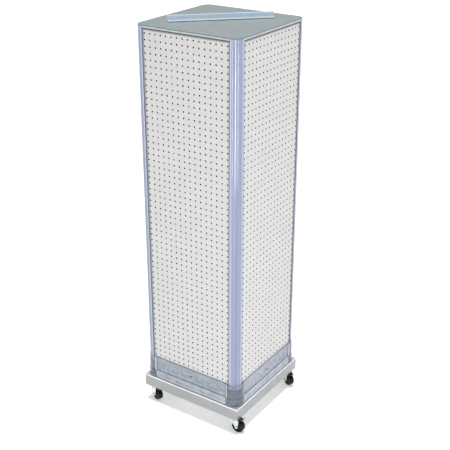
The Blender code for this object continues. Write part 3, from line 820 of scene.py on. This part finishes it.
def tray_marks():
    """Round marks that the mould's ejector pins leave on each wall."""
    outer, inner = MARK_RADII
    section = [(outer, -MARK_SUNK), (outer, MARK_PROUD), (inner, MARK_PROUD), (inner, -MARK_SUNK)]
    profile = [(radius, -TRAY_FACE - out) for radius, out in section]
    marks = [
        turned_parts(profile, 20, "Y", closed=True, place=(place, 0, MARK_HEIGHT)) for place in MARK_PLACES
    ]
    return four_sides(merge_parts(marks))


def collar_material(centre):
    """Kind of a collar face: a dark line of painted shade along the crease and a light strip of painted
    highlight run up each side of the round wall.
    """
    spread = math.atan2(abs(centre.y) - COLLAR_CENTRE, abs(centre.x) - COLLAR_CENTRE)
    off_diagonal = abs(math.degrees(spread) - 45)
    if centre.z > FOOT_TOP and off_diagonal > COLLAR_SHADE_LINE_DEG:
        return "tray_painted_shade_line"
    if centre.z > FOOT_TOP and off_diagonal > COLLAR_HIGHLIGHT_DEG:
        return "collar_highlight_strip"
    return "collar_band" if centre.z > TRAY_BAND else "collar"


def tray_material(centre):
    """Kind of a tray face: corner collar, upper band, one of the dark lines of painted shade in the foot's
    groove and on the step above the foot, foot or wall.
    """
    reach = COLLAR_CENTRE - COLLAR_SPAN
    if abs(centre.x) > reach and abs(centre.y) > reach:
        return collar_material(centre)
    if centre.z > TRAY_BAND:
        return "tray_band"
    line_top = FOOT_TOP + TRAY_LINE_TOP - TRAY_SOFT / 2
    if abs(centre.z - FOOT_LINE) < FOOT_GROOVE / 2 or FOOT_TOP < centre.z < line_top:
        return "tray_painted_shade_line"
    return "tray_foot" if centre.z < FOOT_TOP else "tray"


def make_tray(materials):
    points, faces = merge_parts([loft_parts(tray_rings()), tray_marks()])
    mesh = build_mesh("base_moulding", points, faces, 30)
    for kind in TRAY_KINDS:
        mesh.materials.append(materials[kind])
    for face in mesh.polygons:
        face.material_index = TRAY_KINDS.index(tray_material(face.center / INCH))
    tray = add_piece("base_moulding", mesh, (), "tower")
    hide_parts("base_tray")
    points, faces = tray_ribs()
    ribs = build_mesh("base_ribs", points, faces)
    add_piece("base_ribs", ribs, (materials["tray_band"],), "tower")


# Lid and sign channel


def lid_plate(half, underside, top):
    """Round-cornered plate with a softened upper edge."""
    sizes = [
        (half - LID_UNDER_EDGE, underside),
        (half, underside + LID_UNDER_EDGE),
        (half, top - LID_EDGE),
        (half - LID_EDGE * 0.3, top - LID_EDGE * 0.3),
        (half - LID_EDGE, top),
    ]
    return loft_parts([rounded_square(size, POST_RADIUS - half + size, z) for size, z in sizes])


def lid_skirt(half, underside):
    """Front skirt between two posts, with a recessed seam along its lower edge."""
    bottom = underside - LID_SKIRT
    seam = bottom + LID_SEAM
    section = [
        (-half, underside),
        (-half, seam + LID_SOFT),
        (-half + LID_SOFT, seam),
        (-half + LID_SEAM_DEPTH, seam),
        (-half + LID_SEAM_DEPTH, bottom),
        (-half + LID_SKIRT_WALL, bottom),
        (-half + LID_SKIRT_WALL, underside),
    ]
    reach = POST_LIP - LID_SKIRT_GAP
    return loft_parts([[(x, y, z) for y, z in reversed(section)] for x in (-reach, reach)])


def lid_rim(bottom, underside):
    """Rim that stands inside the panels."""
    inner = LID_RIM_HALF - LID_RIM_WALL
    outer_radius, inner_radius = LID_RIM_RADII
    rings = [
        rounded_square(LID_RIM_HALF, outer_radius, bottom),
        rounded_square(LID_RIM_HALF, outer_radius, underside),
        rounded_square(inner, inner_radius, underside),
        rounded_square(inner, inner_radius, bottom),
    ]
    return loft_parts(rings, closed=True)


def lid_material(normal, height, underside):
    """Kind of a lid face at a height in inches: seam in painted shadow, level face, skirt painted lighter, or
    the plate's edge painted dark as shade.
    """
    if height < underside - LID_SKIRT + LID_SEAM:
        return "lid_seam_painted_shadow"
    if abs(normal.z) > 0.5:
        return "lid"
    return "skirt" if height < underside else "painted_shade_edge"


def make_lid(materials):
    low, high = node_box("lid")
    underside = high.z - LID_PLATE
    plate = lid_plate(high.x, underside, high.z)
    skirts = four_sides(lid_skirt(high.x, underside))
    points, faces = merge_parts([plate, skirts, lid_rim(low.z, underside)])
    mesh = build_mesh("lid_moulding", points, faces)
    for kind in LID_KINDS:
        mesh.materials.append(materials[kind])
    for face in mesh.polygons:
        kind = lid_material(face.normal, face.center.z / INCH, underside)
        face.material_index = LID_KINDS.index(kind)
    lid = add_piece("lid_moulding", mesh, (), "tower")
    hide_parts("lid")


def sign_outline(low, high):
    """Section of the U channel: half of it, and its mirror image."""
    slot = SIGN_HALF - SIGN_WALL
    half = [
        (SIGN_HALF, low),
        (SIGN_HALF, low + SIGN_FOOT),
        (SIGN_HALF, low + SIGN_BASE),
        (SIGN_HALF, high - SIGN_SOFT),
        (SIGN_HALF - SIGN_SOFT, high),
        (slot + SIGN_SOFT, high),
        (slot, high - SIGN_SOFT),
        (slot, low + SIGN_BASE),
    ]
    return half + [(-across, z) for across, z in reversed(half)]


def sign_material(height, low):
    if height > low + SIGN_BASE:
        return "sign"
    # Below the base, the foot takes a dark colour as painted shadow
    return "sign_base" if height > low + SIGN_FOOT else "painted_shade_edge"


def make_sign_holder(materials):
    """Upright U channel along the lid's diagonal, with softened lips and a solid base on a foot painted dark
    as its shadow.
    """
    low, high = node_box("sign_holder")
    reach = high.x * math.sqrt(2) - SIGN_HALF
    outline = sign_outline(low.z, high.z)
    rings = [[(along, across, z) for across, z in outline] for along in (-reach, reach)]
    points, faces = loft_parts(rings)
    mesh = build_mesh("sign_channel", points, faces)
    for kind in SIGN_KINDS:
        mesh.materials.append(materials[kind])
    for face in mesh.polygons:
        face.material_index = SIGN_KINDS.index(sign_material(face.center.z / INCH, low.z))
    channel = add_piece("sign_channel", mesh, (), "tower", turn_z=math.pi / 4)
    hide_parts("sign_holder")


# Metal and casters


def dress_metal(materials):
    """CAD nodes that stay as they are get their finish."""
    finishes = {
        "dolly_pan": "pan",
        "bearing_ball_ring": "ball",
        "bearing": "zinc",
        "caster_brake_pin": "zinc",
        "caster_plate": "zinc",
        "caster_kingpin": "zinc",
        "caster_fork": "zinc",
        "caster_axle": "zinc",
        "caster_nut": "zinc",
        "caster_bushing": "zinc",
        "tray_screw": "dark",
    }
    for name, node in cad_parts.items():
        finish = next((value for start, value in finishes.items() if name.startswith(start)), None)
        if finish is None:
            continue
        node.data.materials.clear()
        node.data.materials.append(materials[finish])


def wheel_profile():
    """Half section of the wheel: hub, dished face with a raised ring, and a rounded tread."""
    half = WHEEL_WIDTH / 2
    radius = node_box("caster_wheel_front_right")[1].z / 2
    shoulder = half - TREAD_DROP
    side = [(WHEEL_BORE, half)]
    side += [(ring, half - depth) for ring, depth in WHEEL_FACE]
    side.append((radius - TREAD_FLANK, shoulder))
    for i in range(TREAD_STEPS + 1):
        angle = math.pi / 2 * i / TREAD_STEPS
        out = radius - TREAD_ROUND + TREAD_ROUND * math.sin(angle)
        side.append((out, shoulder - TREAD_CROWN + TREAD_CROWN * math.cos(angle)))
    return side + [(out, -across) for out, across in reversed(side)]


def caster_place(corner):
    """Swivel axis on the floor, and the resting turn of the fork."""
    sx, sy = CORNERS[corner]
    reach = node_box("dolly_pan")[1].x - CASTER_INSET
    return Vector((sx * reach, sy * reach, 0)), math.radians(CASTER_REST_DEG[corner])


def make_wheel(corner, materials):
    place, turn = caster_place(corner)
    centre_height = node_box("caster_wheel_front_right")[1].z / 2
    points, faces = turned_parts(wheel_profile(), 56, "Y", closed=True)
    mesh = build_mesh("wheel", points, faces, 32)
    axle = place + Matrix.Rotation(turn, 3, "Z") @ Vector((CASTER_TRAIL, 0, centre_height))
    body = f"wheel_{corner}"
    wheel = add_piece(f"tyre_{corner}", mesh, (materials["rubber"],), body, axle, turn)
    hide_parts(f"caster_wheel_{corner}")


def pedal_parts():
    """Brake lever about its pivot: hub, and a plate that dips and turns up at the toe, with ribs on it."""
    hub = []
    for i in range(PEDAL_HUB_STEPS + 1):
        angle = math.radians(-60 - 200 * i / PEDAL_HUB_STEPS)
        hub.append((PEDAL_HUB_RADIUS * math.cos(angle), PEDAL_HUB_RADIUS * math.sin(angle)))
    outline = [*PEDAL_TOP, *PEDAL_UNDER, *hub]
    parts = [loft_parts([[(x, y, z) for x, z in outline] for y in (PEDAL_HALF, -PEDAL_HALF)])]
    for place in PEDAL_RIB_PLACES:
        sides = (place + PEDAL_RIB_HALF, place - PEDAL_RIB_HALF)
        parts.append(loft_parts([[(x, y, z) for x, z in PEDAL_RIB_OUTLINE] for y in sides]))
    return merge_parts(parts)


def make_pedal(corner, materials):
    place, turn = caster_place(corner)
    lift = math.radians(BRAKE_LIFT_DEG) if corner in BRAKE_UP_AT_REST else 0.0
    points, faces = turn_parts(pedal_parts(), -lift, "Y")
    mesh = build_mesh("brake_lever", points, faces, 32)
    pivot = place + Matrix.Rotation(turn, 3, "Z") @ Vector((BRAKE_PIVOT[0], 0, BRAKE_PIVOT[1]))
    name, body = f"brake_lever_{corner}", f"brake_{corner}"
    pedal = add_piece(name, mesh, (materials["paint"],), body, pivot, turn)
    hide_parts(f"caster_brake_{corner}")


def make_rivets(corner, materials):
    """Dark domed rivet high on each leg of the fork."""
    place, turn = caster_place(corner)
    parts = []
    for side in (-1, 1):
        profile = [(radius, side * (FORK_OUTER + out)) for radius, out in RIVET_PROFILE]
        if side > 0:
            profile.reverse()
        parts.append(turned_parts(profile, 20, "Y", place=(RIVET_PLACE[0], 0, RIVET_PLACE[1])))
    points, faces = merge_parts(parts)
    mesh = build_mesh("fork_rivets", points, faces)
    add_piece(f"fork_rivets_{corner}", mesh, (materials["dark"],), f"swivel_{corner}", place, turn)


def make_plate_bolts(corner, materials):
    """Four hexagon heads under the mounting plate."""
    place, _ = caster_place(corner)
    parts = []
    for sx in (-1, 1):
        for sy in (-1, 1):
            spot = (sx * BOLT_OFFSET, sy * BOLT_OFFSET, PLATE_UNDERSIDE)
            parts.append(turned_parts(BOLT_PROFILE, 6, "Z", place=spot))
    points, faces = merge_parts(parts)
    mesh = build_mesh("plate_bolts", points, faces)
    add_piece(f"plate_bolts_{corner}", mesh, (materials["dark"],), "dolly", place)


def make_caster_looks(corner, materials):
    make_wheel(corner, materials)
    make_pedal(corner, materials)
    make_rivets(corner, materials)
    make_plate_bolts(corner, materials)


# Stage, lights and camera


def add_light(name, place, aim, size, power):
    """White rectangular light that shows only by what it lights."""
    data = bpy.data.lights.new(name, "AREA")
    data.shape = "RECTANGLE"
    data.size, data.size_y = size
    data.energy = power
    light = bpy.data.objects.new(name, data)
    light.location = place
    light.rotation_euler = (Vector(aim) - Vector(place)).to_track_quat("-Z", "Y").to_euler()
    light.visible_camera = False
    bpy.context.scene.collection.objects.link(light)


def add_sun(name, direction, strength, angle_deg):
    data = bpy.data.lights.new(name, "SUN")
    data.energy = strength
    data.angle = math.radians(angle_deg)
    light = bpy.data.objects.new(name, data)
    light.rotation_euler = Vector(direction).to_track_quat("-Z", "Y").to_euler()
    bpy.context.scene.collection.objects.link(light)


def make_floor(material):
    mesh = bpy.data.meshes.new("floor")
    reach = FLOOR_REACH
    points = [(-reach, -reach, 0), (reach, -reach, 0), (reach, reach, 0), (-reach, reach, 0)]
    mesh.from_pydata(points, [], [(0, 1, 2, 3)])
    mesh.materials.append(material)
    floor = bpy.data.objects.new("floor", mesh)
    bpy.context.scene.collection.objects.link(floor)


def make_backdrop():
    """White wall round the floor. Only the camera sees it, so it casts no light or reflections."""
    material = make_material("white_backdrop", 0.9)
    shader = material.node_tree.nodes["Principled BSDF"]
    shader.inputs["Emission Color"].default_value = (1.0, 1.0, 1.0, 1.0)
    shader.inputs["Emission Strength"].default_value = 1.0
    reach = FLOOR_REACH
    corners = [(-reach, -reach), (reach, -reach), (reach, reach), (-reach, reach)]
    mesh = bpy.data.meshes.new("backdrop")
    points = [(x, y, z) for z in (0, 2 * reach) for x, y in corners]
    mesh.from_pydata(points, [], [(i + 4, (i + 1) % 4 + 4, (i + 1) % 4, i) for i in range(4)])
    mesh.materials.append(material)
    backdrop = bpy.data.objects.new("backdrop", mesh)
    backdrop.visible_diffuse = False
    backdrop.visible_glossy = False
    backdrop.visible_shadow = False
    bpy.context.scene.collection.objects.link(backdrop)


def make_lights():
    add_sun("overhead", OVERHEAD_AIM, OVERHEAD_STRENGTH, OVERHEAD_ANGLE)
    for name, (place, power) in SIDE_STRIPS.items():
        add_light(name, place, SIDE_STRIP_AIM, SIDE_STRIP_SIZE, power)
    post = POST_CENTRE * INCH
    for name, (azimuth, power) in LOW_STRIPS.items():
        angle = math.radians(azimuth)
        x = post + LOW_STRIP_REACH * math.cos(angle)
        y = -post + LOW_STRIP_REACH * math.sin(angle)
        place = (x, y, LOW_STRIP_HEIGHT)
        add_light(name, place, (post, -post, LOW_STRIP_AIM_HEIGHT), LOW_STRIP_SIZE, power)


def make_stage(materials):
    make_floor(materials["floor"])
    make_backdrop()
    world = bpy.data.worlds.new("studio")
    world.use_nodes = True
    background = world.node_tree.nodes["Background"]
    background.inputs["Color"].default_value = (1.0, 1.0, 1.0, 1.0)
    background.inputs["Strength"].default_value = WORLD_STRENGTH
    bpy.context.scene.world = world
    make_lights()
    bpy.context.scene.view_settings.view_transform = "Standard"


def make_camera():
    azimuth, elevation = math.radians(CAMERA_AZIMUTH), math.radians(CAMERA_ELEVATION)
    looking = Vector(
        (
            -math.sin(azimuth) * math.cos(elevation),
            math.cos(azimuth) * math.cos(elevation),
            -math.sin(elevation),
        )
    )
    data = bpy.data.cameras.new("camera")
    data.lens = CAMERA_LENS
    data.sensor_width = CAMERA_SENSOR
    camera = bpy.data.objects.new("camera", data)
    camera.location = Vector(CAMERA_PLACE) * INCH
    camera.rotation_euler = looking.to_track_quat("-Z", "Y").to_euler()
    bpy.context.scene.collection.objects.link(camera)
    bpy.context.scene.camera = camera


def main():
    materials = make_materials()
    make_panels(materials)
    make_posts(materials)
    make_tray(materials)
    make_lid(materials)
    make_sign_holder(materials)
    dress_metal(materials)
    for corner in CORNERS:
        make_caster_looks(corner, materials)
    make_stage(materials)
    make_camera()


main()
